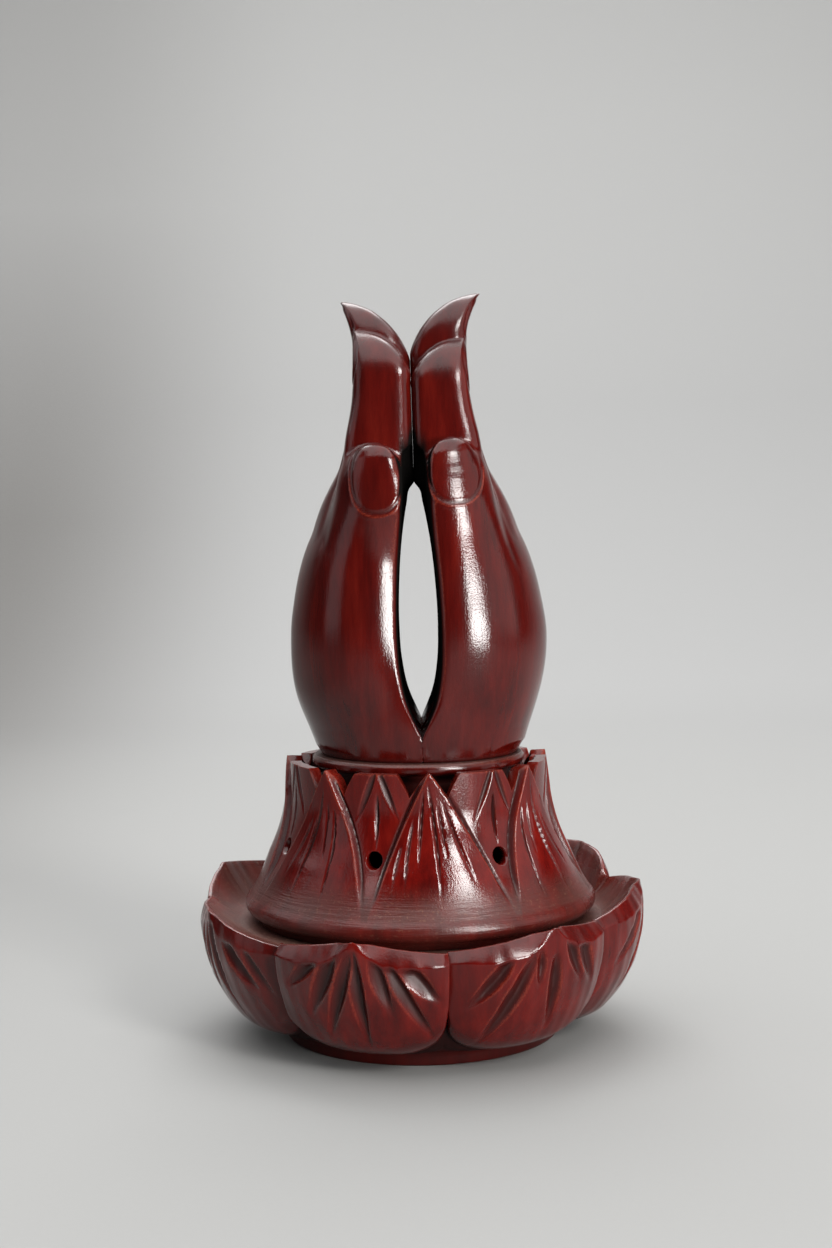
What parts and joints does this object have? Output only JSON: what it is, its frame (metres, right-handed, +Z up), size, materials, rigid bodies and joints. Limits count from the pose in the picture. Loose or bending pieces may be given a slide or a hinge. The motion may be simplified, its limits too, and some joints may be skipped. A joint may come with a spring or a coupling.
{
  "type": "incense burner",
  "caption": "Carved wooden incense burner: lotus dish with a brass ash pan, lift-off lotus smoke cover, and hands held palm to palm on a plinth above it.",
  "frame": {"origin": "centre of the foot ring, on the table", "axes": "+Z up through the hands, -Y to the front where the thumbs are, +X to the right hand seen from the front"},
  "size_m": [0.133, 0.1336, 0.2192],
  "materials": {
    "lacquered_wood": "deep red lacquer over carved wood, glossy, darker in the cuts",
    "pan_brass": "spun brass, dulled by heat",
    "mat_fibre": "coarse fire-proof fibre felt",
    "screw_steel": "plain steel",
    "dowel_wood": "bare beech"
  },
  "bodies": {
    "dish": {"lotus_dish": "lacquered_wood", "ash_pan": "pan_brass", "pan_tacks": "pan_brass", "fibre_mat": "mat_fibre"},
    "cover": {"smoke_cover": "lacquered_wood"},
    "hands": {"plinth": "lacquered_wood", "hand_screws": "screw_steel", "wrist_dowels": "dowel_wood", "left_hand": "lacquered_wood", "right_hand": "lacquered_wood"}
  },
  "joints": [
    {"name": "cover_lift", "type": "slide", "parent": "dish", "child": "cover", "axis": [0, 0, 1], "range_m": [0, 0.12]},
    {"name": "hands_lift", "type": "slide", "parent": "cover", "child": "hands", "axis": [0, 0, 1], "range_m": [0, 0.06]}
  ]
}
